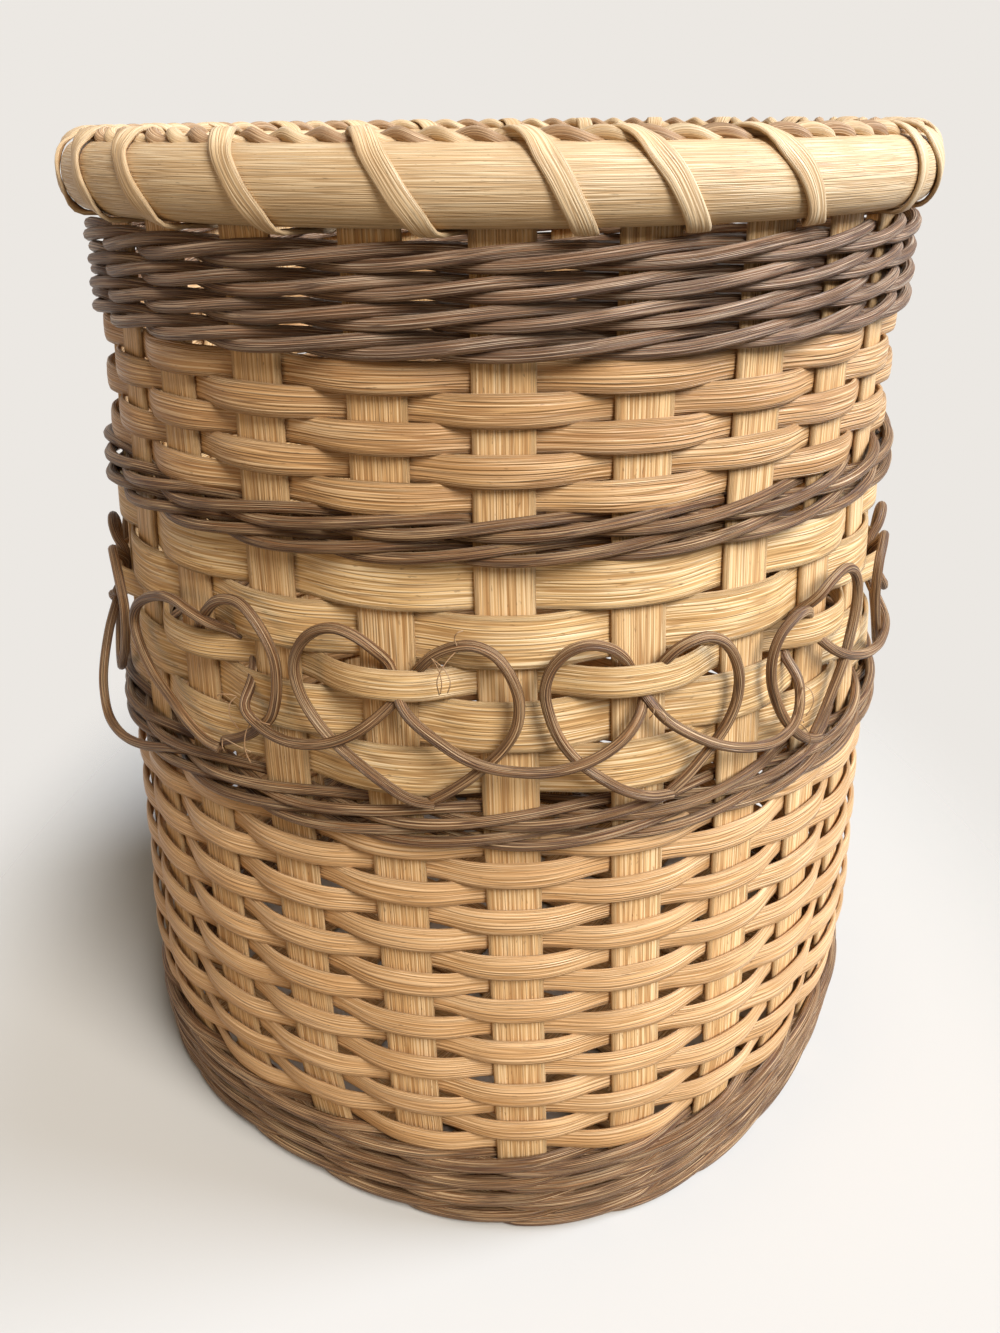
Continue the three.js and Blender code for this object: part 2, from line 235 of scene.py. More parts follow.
def add_object(bm, name, material):
    mesh = bpy.data.meshes.new(name)
    bm.to_mesh(mesh)
    bm.free()
    mesh.materials.append(material)
    added = bpy.data.objects.new(name, mesh)
    bpy.context.scene.collection.objects.link(added)
    return added


def finish_piece(bm, name, material, slot, *nodes):
    """Adds bm as a piece that rides on the frame and stands for the named CAD pieces."""
    bmesh.ops.recalc_face_normals(bm, faces=bm.faces)
    piece = add_object(bm, name, material)
    piece.data.shade_smooth()
    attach(piece, "root")
    if nodes:
        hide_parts(*nodes)


# %% [markdown]
# ## Outlines of the reeds
#
# Round reed is a circle. Flat reed is nearly a rectangle with soft edges, which comes from the same
# circle: raising its sine and cosine to a small power pushes the points towards the corners. Oval
# reed is flat behind and domed in front.


# %% Reed outlines
def towards_box(value, power):
    return np.sign(value) * np.abs(value) ** power


def round_outline(diameter):
    return lambda y, z: (y * diameter / 2, z * diameter / 2)


def flat_outline(width, thickness, power=0.35):
    return lambda y, z: (
        towards_box(y, power) * width / 2,
        towards_box(z, power) * thickness / 2,
    )


def oval_outline(width, thickness):
    """Flat behind, with soft edges, and domed in front."""

    def outline(y, z):
        dome = np.where(z > 0, np.maximum(z, 0) ** 0.75, towards_box(z, 0.35) * 0.8)
        return towards_box(y, 0.72) * width / 2, dome * thickness / 2

    return outline


# %% [markdown]
# ## Materials: what all reed shares
#
# Reed is the core of a palm stem. Its fibres run the whole length, some paler and some brown, and
# between them lie dark grooves. One node group makes these patterns from the `reed` map, stretched
# along the reed. A groove follows the line where a smooth noise crosses its middle value, so it is
# thin, long and wanders a little. Each material then mixes its own colours with the patterns.


# %% Node helpers
def fill(tree, node, inputs):
    """Gives each of these inputs of a node its value, or a link to another node."""
    for socket, value in inputs.items():
        if isinstance(value, bpy.types.NodeSocket):
            tree.links.new(value, node.inputs[socket])
        else:
            node.inputs[socket].default_value = value


def math_node(tree, operation, *values, kind="ShaderNodeMath"):
    node = tree.nodes.new(kind)
    node.operation = operation
    fill(tree, node, dict(enumerate(values)))
    return node.outputs[0]


def range_node(tree, value, low, high, new_low=0.0, new_high=1.0):
    node = tree.nodes.new("ShaderNodeMapRange")
    node.interpolation_type = "SMOOTHSTEP"
    limits = {"From Min": low, "From Max": high, "To Min": new_low, "To Max": new_high}
    fill(tree, node, {"Value": value, **limits})
    return node.outputs["Result"]


def noise_node(tree, vector, detail, roughness):
    node = tree.nodes.new("ShaderNodeTexNoise")
    fill(tree, node, {"Vector": vector, "Scale": 1, "Detail": detail, "Roughness": roughness})
    return node.outputs["Fac"]


def mix_colour(tree, factor, a, b):
    node = tree.nodes.new("ShaderNodeMix")
    node.data_type = "RGBA"
    fill(tree, node, {"Factor": factor, "A": a, "B": b})
    return node.outputs["Result"]


# %% Fibre group
def make_fibre_group():
    tree = bpy.data.node_groups.new("reed fibres", "ShaderNodeTree")
    sockets = tree.interface
    sockets.new_socket(name="Reed place", in_out="INPUT", socket_type="NodeSocketVector")
    for name, value in (("Fibre length", 60.0), ("Groove spacing", 1.2)):
        socket = sockets.new_socket(name=name, in_out="INPUT", socket_type="NodeSocketFloat")
        socket.default_value = value
    for name in ("Streaks", "Grooves", "Relief", "Patches", "Flecks"):
        sockets.new_socket(name=name, in_out="OUTPUT", socket_type="NodeSocketFloat")
    source = tree.nodes.new("NodeGroupInput")
    result = tree.nodes.new("NodeGroupOutput")
    length = source.outputs["Fibre length"]
    spacing = source.outputs["Groove spacing"]

    def stretched_noise(along, across, layer, detail):
        """Noise with features so many millimetres long and wide. Each layer has its own pattern."""
        size = tree.nodes.new("ShaderNodeCombineXYZ")
        fill(tree, size, {0: along, 1: across, 2: 1})
        place, vectors = source.outputs["Reed place"], "ShaderNodeVectorMath"
        place = math_node(tree, "DIVIDE", place, size.outputs[0], kind=vectors)
        place = math_node(tree, "ADD", place, (0, 0, layer), kind=vectors)
        return noise_node(tree, place, detail, 0.6)

    fine = stretched_noise(length, math_node(tree, "MULTIPLY", spacing, 0.3), 0, 2)
    streaks = range_node(tree, fine, 0.36, 0.64)
    smooth = stretched_noise(length, spacing, 8, 1)
    away = math_node(tree, "ABSOLUTE", math_node(tree, "SUBTRACT", smooth, 0.5))
    grooves = range_node(tree, away, 0.012, 0.06, 1, 0)
    hollow = range_node(tree, away, 0.0, 0.12)
    relief = math_node(tree, "MULTIPLY_ADD", streaks, 0.35, hollow)
    patches = range_node(tree, stretched_noise(90.0, 18.0, 14, 2), 0.32, 0.68)
    stains = range_node(tree, stretched_noise(22.0, 1.1, 27, 2), 0.58, 0.74, 0.0, 0.7)
    flecks = range_node(tree, stretched_noise(4.0, 0.5, 21, 2), 0.64, 0.72)
    flecks = math_node(tree, "MAXIMUM", stains, flecks)
    fill(tree, result, dict(enumerate((streaks, grooves, relief, patches, flecks))))
    return tree


fibre_group = make_fibre_group()
print("fibre group:", [item.name for item in fibre_group.interface.items_tree])

# %% [markdown]
# ## The finishes
#
# Every finish is one Principled surface. The body colour drifts to a second tone in patches. Fine
# streaks take it down to brown fibre and up to the pale fibre that catches the light, grooves and
# flecks darken it, and a Bump node turns the grooves into relief.

# %% Reed finish
SPECULAR = 0.35
FLECK_SHARE = 0.5


def reed_finish(name, dark, body, tone, pale, fibre, contrast, grooves, relief, roughness):
    """A reed material. Fibre is the length of a fibre and the spacing of grooves, in millimetres.

    Contrast and grooves say how dark the fibres and the grooves are, and relief how deep."""
    material = bpy.data.materials.new(name)
    material.use_nodes = True
    tree = material.node_tree
    shader = tree.nodes["Principled BSDF"]
    place = tree.nodes.new("ShaderNodeUVMap")
    place.uv_map = "reed"
    fibres = tree.nodes.new("ShaderNodeGroup")
    fibres.node_tree = fibre_group
    length, spacing = fibre
    reed = {"Reed place": place.outputs["UV"], "Fibre length": length, "Groove spacing": spacing}
    fill(tree, fibres, reed)
    streaks = fibres.outputs["Streaks"]
    drift = mix_colour(tree, fibres.outputs["Patches"], (*body, 1), (*tone, 1))
    brown = range_node(tree, streaks, 0.0, 0.5, contrast, 0.0)
    colour = mix_colour(tree, brown, drift, (*dark, 1))
    light = range_node(tree, streaks, 0.45, 1.0, 0.0, 1.4 * contrast)
    colour = mix_colour(tree, light, colour, (*pale, 1))
    groove = math_node(tree, "MULTIPLY", fibres.outputs["Grooves"], grooves)
    colour = mix_colour(tree, groove, colour, (*dark, 1))
    fleck = math_node(tree, "MULTIPLY", fibres.outputs["Flecks"], FLECK_SHARE)
    colour = mix_colour(tree, fleck, colour, (*[c * 0.4 for c in dark], 1))
    rough = range_node(tree, streaks, 0, 1, roughness + 0.1, roughness - 0.1)
    bump = tree.nodes.new("ShaderNodeBump")
    height = fibres.outputs["Relief"]
    fill(tree, bump, {"Strength": 1, "Distance": relief * MM, "Height": height})
    surface = {"Base Color": colour, "Roughness": rough, "Normal": bump.outputs["Normal"]}
    fill(tree, shader, {**surface, "Specular IOR Level": SPECULAR})
    return material


stake_reed = reed_finish(
    "flat stake reed",
    dark=(0.36, 0.17, 0.05),
    body=(0.74, 0.47, 0.21),
    tone=(0.68, 0.41, 0.17),
    pale=(0.87, 0.67, 0.40),
    fibre=(80, 0.75),
    contrast=0.42,
    grooves=0.65,
    relief=0.12,
    roughness=0.55,
)
weaver_reed = reed_finish(
    "oval weaver reed",
    dark=(0.38, 0.18, 0.05),
    body=(0.73, 0.44, 0.2),
    tone=(0.65, 0.37, 0.155),
    pale=(0.86, 0.63, 0.37),
    fibre=(60, 1.2),
    contrast=0.35,
    grooves=0.5,
    relief=0.22,
    roughness=0.45,
)
# A darker copy of the weaver reed for the upper rows: painted shade, because less light falls high
# on the wall than lower down.
shaded_upper_reed = reed_finish(
    "upper oval weaver reed, painted shade",
    dark=(0.33, 0.15, 0.045),
    body=(0.63, 0.365, 0.15),
    tone=(0.55, 0.30, 0.12),
    pale=(0.84, 0.60, 0.34),
    fibre=(60, 1.1),
    contrast=0.45,
    grooves=0.6,
    relief=0.25,
    roughness=0.45,
)
wide_reed = reed_finish(
    "wide flat weaver reed",
    dark=(0.38, 0.19, 0.06),
    body=(0.73, 0.47, 0.2),
    tone=(0.69, 0.42, 0.165),
    pale=(0.88, 0.69, 0.42),
    fibre=(45, 0.8),
    contrast=0.5,
    grooves=0.6,
    relief=0.15,
    roughness=0.5,
)
rim_reed = reed_finish(
    "rim band reed",
    dark=(0.42, 0.24, 0.1),
    body=(0.74, 0.525, 0.285),
    tone=(0.68, 0.46, 0.235),
    pale=(0.88, 0.73, 0.49),
    fibre=(40, 0.8),
    contrast=0.4,
    grooves=0.5,
    relief=0.1,
    roughness=0.5,
)
cord_reed = reed_finish(
    "brown cord reed",
    dark=(0.25, 0.12, 0.05),
    body=(0.50, 0.31, 0.16),
    tone=(0.42, 0.24, 0.11),
    pale=(0.74, 0.53, 0.32),
    fibre=(40, 0.9),
    contrast=0.5,
    grooves=0.5,
    relief=0.15,
    roughness=0.5,
)
brown_reed = reed_finish(
    "dyed round reed",
    dark=(0.045, 0.014, 0.004),
    body=(0.24, 0.103, 0.031),
    tone=(0.31, 0.148, 0.052),
    pale=(0.60, 0.42, 0.23),
    fibre=(45, 0.75),
    contrast=0.6,
    grooves=0.8,
    relief=0.25,
    roughness=0.45,
)
# A lighter copy of the dyed reed, with paler streaks: painted light and painted highlights for the
# top wale, which the rim's shade would darken.
painted_light_brown_reed = reed_finish(
    "dyed reed, lighter for painted light",
    dark=(0.05, 0.018, 0.006),
    body=(0.29, 0.14, 0.06),
    tone=(0.37, 0.20, 0.1),
    pale=(0.68, 0.52, 0.36),
    fibre=(45, 0.75),
    contrast=0.6,
    grooves=0.8,
    relief=0.25,
    roughness=0.45,
)

# %% [markdown]
# ## Stakes and base
#
# Twelve flat strips are the skeleton. Each goes up one side of the wall, passes over and under the
# six strips that cross it in the base, and goes up the other side. The strip's points are placed by
# how far along it they are: on the base they lie flat and ride over or under, at the edge they turn
# up round a small radius, and on the wall they follow the outline.

# %% Where a strip runs
EDGE_RADIUS = 6
LOW_LEVEL = STAKE_THICKNESS / 2
HIGH_LEVEL = LOW_LEVEL + STAKE_THICKNESS + 0.3
STRIPS = 6
BASE_RUN = 118
WOVEN_SHARE, FREE_SHARE = 0.8, 0.2  # of BASE_RUN
EDGE_RUN = EDGE_RADIUS * math.pi / 2
STRAIGHTEN_OVER = 25
STRIP_TOP = RIM_TOP - 2.5
HALF_STRIP = BASE_RUN + EDGE_RUN + STRIP_TOP - EDGE_RADIUS - LOW_LEVEL


def strip_angle(index):
    return stake_angle(index - STRIPS // 2)


def strip_offset(index):
    angle = strip_angle(index)
    return float(wall_radius(angle, EDGE_RADIUS)) * math.sin(math.radians(angle))


def ease(share):
    share = np.clip(share, 0, 1)
    return share * share * (3 - 2 * share)


def base_level(index, x):
    """Height of a strip's middle where it crosses the base at x: up and down over the others."""
    wall = WALL_RADII[1] + 8
    stops, levels = [-wall], [LOW_LEVEL]
    for other in range(STRIPS):
        level = HIGH_LEVEL if (other + index) % 2 == 0 else LOW_LEVEL
        for side in (-1, 1):
            stops.append(strip_offset(other) + side * STAKE_WIDTH / 2)
            levels.append(level)
    stops.append(wall)
    levels.append(LOW_LEVEL)
    rise = HIGH_LEVEL - LOW_LEVEL
    return LOW_LEVEL + rise * ease((np.interp(x, stops, levels) - LOW_LEVEL) / rise)


# %% Bend a strip
def strip_place(index, quarter):
    """Gives the function that bends a straight reed into strip number index."""
    angle = strip_angle(index)
    offset = strip_offset(index)
    rest = float(wall_radius(angle, EDGE_RADIUS)) - EDGE_RADIUS
    crossed = strip_offset(STRIPS - 1) + STAKE_WIDTH / 2

    def place(along, across, depth):
        signed = (2 * along - 1) * HALF_STRIP
        side = np.where(signed >= 0, 1, -1)
        run = np.abs(signed)
        # On the base
        inner = np.clip(run / BASE_RUN / WOVEN_SHARE, 0, 1) * crossed
        outer = np.clip((run / BASE_RUN - WOVEN_SHARE) / FREE_SHARE, 0, 1)
        y = offset + across
        base_x = inner + (np.sqrt(rest**2 - y**2) - crossed) * outer
        level = base_level(index, side * base_x)
        level += (LOW_LEVEL - level) * ease(outer)
        base = np.stack([base_x, y, level - depth], axis=-1)
        # Turning up
        turned = np.clip((run - BASE_RUN) / EDGE_RADIUS, 0, math.pi / 2)
        share = turned / (math.pi / 2)
        middle = rest + EDGE_RADIUS * np.sin(turned)
        narrow = 1 + (math.cos(math.radians(angle)) - 1) * share
        around = np.arcsin((offset + across / narrow) / middle)
        radius = middle + depth * np.sin(turned)
        height = LOW_LEVEL + EDGE_RADIUS - (EDGE_RADIUS + depth) * np.cos(turned)
        edge = about_axis(radius, around, height)
        # Up the wall, as if on the side of +X: the lean, droop and sway come after
        height = LOW_LEVEL + EDGE_RADIUS + np.maximum(run - BASE_RUN - EDGE_RUN, 0)
        first = np.degrees(np.arcsin((offset + across / narrow) / (rest + EDGE_RADIUS)))
        later = angle + np.degrees(np.arcsin(across / wall_radius(angle, height)))
        where = first + (later - first) * ease((height - EDGE_RADIUS) / STRAIGHTEN_OVER)
        wall = about_axis(wall_radius(where, height) + depth, np.radians(where), height)
        # The three together, turned to their own side, and leaning and drooping as the wall does
        on_base = (run <= BASE_RUN)[:, None]
        on_edge = (run <= BASE_RUN + EDGE_RUN)[:, None]
        points = np.where(on_base, base, np.where(on_edge, edge, wall))
        points[:, 0] *= side
        stake = np.where(side > 0, angle, 180 - angle) + quarter
        turn = np.radians(quarter + lean(stake % 360, points[:, 2]) * ease(outer))
        points[:, 2] -= droop(stake, points[:, 2])
        x, y = points[:, 0].copy(), points[:, 1].copy()
        points[:, 0] = x * np.cos(turn) - y * np.sin(turn)
        points[:, 1] = x * np.sin(turn) + y * np.cos(turn)
        return points + sway(points[:, 2])

    return place


for letter, quarter in (("x", 0), ("y", 90)):
    for index in range(STRIPS):
        bm = bmesh.new()
        outline = flat_outline(STAKE_WIDTH, STAKE_THICKNESS, 0.3)
        place = strip_place(index, quarter)
        bend_reed(bm, 260, 12, 2 * HALF_STRIP, outline, place, closed=False)
        name = f"stake_strip_{letter}{index + 1}"
        finish_piece(bm, f"reed_{name}", stake_reed, "tan_reed", name)
print(2 * STRIPS, "strips of", round(2 * HALF_STRIP), "mm")

# %% [markdown]
# ## Weavers
#
# A weaver goes over one stake and under the next. Bent reed is springy, so its path is a smooth
# wave rather than a zigzag, a little flattened where it lies on a stake. Each hoop wanders up and
# down by a fraction of a millimetre, because no hand packs a row quite level. Rows lie closer
# than a weaver is wide, so each is a little narrower where they squeeze past each other between
# the stakes.

# %% Weaver paths
WEAVE_OUT, WEAVE_IN = 2.7, 2.3
ROW_WANDER, ROW_PUSH = 0.35, 0.25


def over_under(phase):
    """1 in front of a stake at phase 0, -1 behind the next at phase 1, and back."""
    turn = np.pi * phase
    return (np.cos(turn) - 0.07 * np.cos(3 * turn)) / 0.93


def wander(size):
    """A small wave that closes on itself after one turn round the basket."""
    waves = [(k, random.uniform(0, 6.28), random.uniform(0.3, 1) / k) for k in (2, 3, 5, 7, 11)]
    total = sum(amount for _, _, amount in waves)

    def drift(angle):
        turn = np.radians(angle)
        return size / total * sum(amount * np.sin(k * turn + start) for k, start, amount in waves)

    return drift


def weave_hoop(node, even_outside, outline, out, sink, reed, slot, lift=0.0, squeeze=0.0):
    """A closed hoop over one stake and under the next, as high as its CAD piece stands.

    Out and sink say how far it passes in front of a stake and behind the next, and squeeze how
    much of its width it loses between them."""
    low, high = heights(node)
    middle = (low + high) / 2 + lift
    first = 0 if even_outside else 1
    start = stake_angle(first + 13)
    wave, push = wander(ROW_WANDER), wander(ROW_PUSH)

    def place(along, across, depth):
        angle = start + 360 * along
        swing = over_under(angle / STAKE_SPACING - 0.5 - first)
        wall_out = (out - sink) / 2 + (out + sink) / 2 * swing + push(angle)
        wide = across * (1 - squeeze * (1 - swing**2) - 0.2 * squeeze * (1 - swing))
        return wall_points(angle, middle + wave(angle) + wide, wall_out + depth)

    bm = bmesh.new()
    length = 2 * math.pi * float(wall_radius(0, middle))
    bend_reed(bm, STAKE_COUNT * 12, 12, length, outline, place, closed=True)
    finish_piece(bm, f"reed_{node}", reed, slot, node)


# %% Plain weave rows
oval = oval_outline(9.3, 2.2)
SQUEEZE = 0.07
courses = [(f"lower_weaver_{n:02d}", n, weaver_reed) for n in range(1, 16)]
# The upper rows take the copy painted darker, as painted shade.
courses += [(f"upper_weaver_{n}", n, shaded_upper_reed) for n in range(1, 6)]
for node, n, reed in courses:
    even = n % 2 == 0
    weave_hoop(node, even, oval, WEAVE_OUT, WEAVE_IN, reed, "tan_reed", squeeze=SQUEEZE)
print(len(courses), "rows of plain weave")

# %% Wide weavers and the narrow one
wide, narrow = flat_outline(16.1, 1.6, 0.3), oval_outline(9.7, 2.2)
pale_weavers = [
    ("wide_weaver_1", False, wide, 2.4, 2.1, -0.8),
    ("wide_weaver_2", True, wide, 2.4, 2.1, -1.2),
    ("wide_weaver_3", True, wide, 2.4, 2.1, -0.2),
    ("wide_weaver_4", False, wide, 2.4, 2.1, 0.0),
    ("narrow_weaver", False, narrow, 6.2, WEAVE_IN, -0.4),
]
for node, even, outline, out, sink, lift in pale_weavers:
    weave_hoop(node, even, outline, out, sink, wide_reed, "pale_reed", lift=lift)
print(len(courses) + len(pale_weavers), "weavers in all")

# %% [markdown]
# ## Waling
#
# A wale is twined from three rods. Each passes in front of two stakes and behind the third, rising
# as it goes, and a new rod comes out low at every stake, so the band looks like a rope. A rod's
# height and its distance out are both waves over three stakes, and the second rod and the third are
# the same wave one and two stakes further on.

# %% Three-rod wales
ROD_FRONT = 3.4
ROD_WANDER = 0.3


def wale_out(phase):
    turn = 2 * np.pi * (phase - 1) / 3
    return 1.5 + 4.5 * np.cos(turn) - 0.5 * np.cos(2 * turn)


def wale_rise(phase):
    return -np.cos(2 * np.pi * (phase - 0.3) / 3)


def wale_band(node, low, high, courses, diameter, rise=0.285, swell=1.0):
    """A band between two heights. Each course is one turn of all three rods.

    Rise says how far a rod goes up and down. Swell scales what stands out beyond ROD_FRONT, where
    a rod passes in front of a stake."""
    swing = rise * (high - low) / (courses + 0.07)
    first = low + diameter / 2 + swing
    pitch = (high - low - diameter - 2 * swing) / (courses - 1)
    bm = bmesh.new()
    for course in range(courses):
        for rod in range(3):
            middle = first + course * pitch
            wave, push = wander(ROD_WANDER), wander(ROD_WANDER)

            def place(along, across, depth):
                phase = STAKE_COUNT * along
                angle = stake_angle(rod + phase) - STAKE_SPACING / 2
                height = middle + swing * wale_rise(phase) + wave(angle)
                out = wale_out(phase)
                out = np.minimum(out, ROD_FRONT) + swell * np.maximum(out - ROD_FRONT, 0)
                return wall_points(angle, height + across, out + push(angle) + depth)

            length = 2 * math.pi * float(wall_radius(0, middle))
            outline = round_outline(diameter * random.uniform(0.95, 1.04))
            bend_reed(bm, STAKE_COUNT * 12, 9, length, outline, place, closed=True)
    print(node, "from", round(low, 1), "to", round(high, 1), "courses", round(pitch, 2), "apart")
    # The top wale takes the copy painted lighter: painted light under the rim.
    finish = painted_light_brown_reed if node == "wale_top" else brown_reed
    finish_piece(bm, f"rods_{node}", finish, "brown_reed", node)


wale_band("wale_bottom", 0.6, foot_top - 0.2, 4, 5.0, rise=0.19, swell=0.4)
wale_band("wale_lower", waist - 17.2, waist - 3.8, 2, 3.45)
wale_band("wale_middle", shoulder - 1.7, shoulder + 12.5, 2, 3.6)
wale_band("wale_top", heights("upper_weaver_5")[1] + 0.6, RIM_BOTTOM - 2.6, 4, 3.65)

# %% [markdown]
# ## Hearts
#
# Each dyed curl starts at the tip of one heart, makes its left lobe, tucks under the narrow weaver,
# swags across to the next heart, tucks again and ends as the right lobe there. Its path is a smooth
# curve through a few places on the wall, and a round outline is carried along it.

# %% Smooth paths
FINE_STEPS = 24


def smooth_curve(points, steps, closed=False):
    """Points at equal distances along a smooth curve through the given ones, and its length."""
    points = np.asarray(points, dtype=float)
    if closed:
        padded = np.concatenate([points[-2:-1], points, points[1:2]])
    else:
        padded = np.concatenate([points[:1], points, points[-1:]])
    share = np.linspace(0, 1, FINE_STEPS, endpoint=False)[:, None]
    fine = []
    for i in range(len(points) - 1):
        before, a, b, after = padded[i : i + 4]
        bend = 2 * before - 5 * a + 4 * b - after
        twist = 3 * a - before - 3 * b + after
        fine.append(0.5 * (2 * a + (b - before) * share + bend * share**2 + twist * share**3))
    fine = np.concatenate([*fine, points[-1:]])
    runs = np.concatenate([[0], np.cumsum(np.linalg.norm(np.diff(fine, axis=0), axis=1))])
    places = np.linspace(0, runs[-1], steps + 1)
    return np.stack([np.interp(places, runs, axis) for axis in fine.T], axis=-1), runs[-1]


def unit(vectors):
    return vectors / np.linalg.norm(vectors, axis=-1, keepdims=True)


def outward(path):
    """The level directions away from the axis of the basket."""
    return unit(path * (1, 1, 0))


def carry_outline(path, upper, closed=False):
    """Carries an outline along path, its upper side turned towards the directions upper."""
    steps = len(path) - 1
    before, after = np.roll(path, 1, axis=0), np.roll(path, -1, axis=0)
    if closed:
        before[0], after[-1] = path[-2], path[1]
    else:
        before[0], after[-1] = path[0], path[-1]
    ahead = unit(after - before)
    side = unit(np.cross(upper, ahead))
    face = np.cross(ahead, side)

    def place(along, across, depth):
        i = np.rint(along * steps).astype(int)
        return path[i] + side[i] * across[:, None] + face[i] * depth[:, None]

    return place


# %% Heart curls
HEART_COUNT = 12
HEART_SPACING = 2 * STAKE_SPACING
CURL = 3.3
TUCKED, CROSSED = 2.4, 6.2  # how far out a curl runs under the weaver, and over another curl
narrow_low = heights("narrow_weaver")[0] - 0.6


def left_lobe(turn, width, height, tip_turn, tip_drop):
    """From the tip of a heart round its left lobe, under the weaver and down to the swag.

    Each place is an angle, a height above the weaver's lower edge, and a distance out."""
    w, h, t = width / 12.8, height / 18.2, tip_drop / 31
    return [
        (turn + tip_turn, -31.0 * t, 7.0),
        (turn + tip_turn - 2.0, -30.6 * t, 7.0),
        (turn + 0.6 * tip_turn - 3.8 * w, -27.4 * t, 7.0),
        (turn + 0.4 * tip_turn - 6.8 * w, -21.8 * t, 7.0),
        (turn + 0.2 * tip_turn - 9.3 * w, -15.3 * t, 7.2),
        (turn - 11.1 * w, -8.2, 7.4),
        (turn - 12.4 * w, -0.8, 7.4),
        (turn - 12.8 * w, 6.8, 7.6),
        (turn - 11.8 * w, 13.2 * h, 7.6),
        (turn - 9.8 * w, 17.2 * h, 7.6),
        (turn - 7.4 * w, 18.2 * h, 7.2),
        (turn - 5.2 * w, 16.4 * h, 6.6),
        (turn - 3.4 * w, 12.8 * h, 5.0),
        (turn - 2.0, 8.2, TUCKED),
        (turn - 0.9, 2.2, TUCKED),
        (turn + 0.6, -4.2, CROSSED),
        (turn + 3.2, -10.2, 8.4),
    ]


def right_lobe(turn, width, height, tip_turn, tip_drop):
    """The same on the right side of a heart, from the swag that comes from its left."""
    w, h, t = width / 12.8, height / 16.8, tip_drop / 31
    return [
        (turn - 3.4, -10.2, 7.4),
        (turn - 0.6, -4.2, TUCKED),
        (turn + 0.9, 2.2, TUCKED),
        (turn + 2.0, 8.4, TUCKED),
        (turn + 3.6 * w, 13.0 * h, 5.2),
        (turn + 5.7 * w, 16.0 * h, 6.8),
        (turn + 8.0 * w, 16.8 * h, 7.4),
        (turn + 10.2 * w, 13.9 * h, 7.6),
        (turn + 11.9 * w, 8.0 * h, 7.6),
        (turn + 12.8 * w, 1.0, 7.4),
        (turn + 12.4 * w, -6.4, 7.4),
        (turn + 0.2 * tip_turn + 10.7 * w, -12.4 * t, 7.2),
        (turn + 0.4 * tip_turn + 8.6 * w, -17.8 * t, 7.0),
        (turn + 0.6 * tip_turn + 5.6 * w, -23.4 * t, 7.0),
        (turn + 0.8 * tip_turn + 2.8 * w, -28.2 * t, 7.0),
        (turn + tip_turn + 0.2, -31.3 * t, 7.0),
    ]


def swag(turn, onward, drop):
    """The hanging part between two hearts."""
    return [
        (turn + 5.4, 0.61 * drop, 8.8),
        (turn + 8.0, 0.80 * drop, 9.4),
        (turn + 11.2, 0.94 * drop, 9.8),
        ((turn + onward) / 2, drop, 10.0),
        (onward - 11.2, 0.94 * drop, 9.8),
        (onward - 8.0, 0.80 * drop, 9.4),
        (onward - 5.4, 0.61 * drop, 8.8),
    ]


# %% [markdown]
# Four hearts show in the picture, and no two are alike, because the rod was bent freehand. Their
# curls follow places read from it: degrees right of the camera, height above the floor, and how far
# out. One swag hangs loose at the left, down to the wale, where its end is tucked in. The next
# length starts under the narrow weaver. The other hearts are not seen, so they vary at random.

# %% Curls read from the picture
LOOSE_SWAG = [
    (-76, 198, 6), (-73, 188, 10), (-70.5, 176, 13.2), (-69, 167, 14.2), (-66, 161, 13.8),
    (-61.5, 159, 11.5), (-56, 161, 8.4), (-50.5, 165, 5.4), (-46.5, 167, 2.6),
]
RIGHT_OF_3RD = [
    (-42.8, 208, TUCKED), (-41.2, 215.5, 4), (-38.9, 220.6, 6.4), (-37.2, 224.5, 7.6),
    (-35.7, 227.4, 8.2), (-33.8, 229.3, 8.4), (-31.6, 229, 8.2), (-29.7, 225.1, 8),
    (-28.1, 219.8, 8), (-27.1, 214.1, 8), (-26.9, 208, 8), (-27.2, 201.5, 8), (-28.2, 195.1, 7.6),
    (-30.3, 189.8, 7.2), (-32.8, 185.4, 7), (-36.5, 181, 7),
]
FROM_3RD_TO_4TH = [
    (-36.8, 178.6, 8), (-39.2, 179, 8), (-42.1, 181.6, 8), (-46.4, 187.3, 8), (-51.4, 193.5, 8),
    (-54.9, 200, 8), (-56.2, 206.3, 8), (-54.7, 212.9, 8), (-50.9, 218.6, 8), (-46.6, 222.4, 8.4),
    (-43.1, 223.3, 8.8), (-40.1, 222.1, 9.2), (-37.4, 219.6, 7.6), (-35.9, 215.6, 1.5),
    (-34.2, 210, -1.8), (-32.9, 203, 1.5), (-31.9, 196.3, 8.4), (-29.2, 191.8, 9.4),
    (-25.9, 190, 10), (-22.5, 190.4, 10), (-19.3, 192.6, 9.6), (-16.1, 197, 8.8), (-13.2, 203, 5.6),
    (-11.3, 208.5, TUCKED), (-10, 213.2, TUCKED), (-8.7, 217.6, 5.2), (-7.1, 221.6, 7),
    (-4.9, 224.3, 8), (-2.7, 224.6, 8), (-0.5, 221.8, 8), (1.1, 216, 8), (2, 208.7, 8),
    (1.8, 201.1, 8), (0.7, 194.9, 7.6), (-1.1, 189.4, 7.2), (-3.5, 183.8, 7), (-5.8, 179.4, 7),
    (-8.2, 175.6, 7),
]
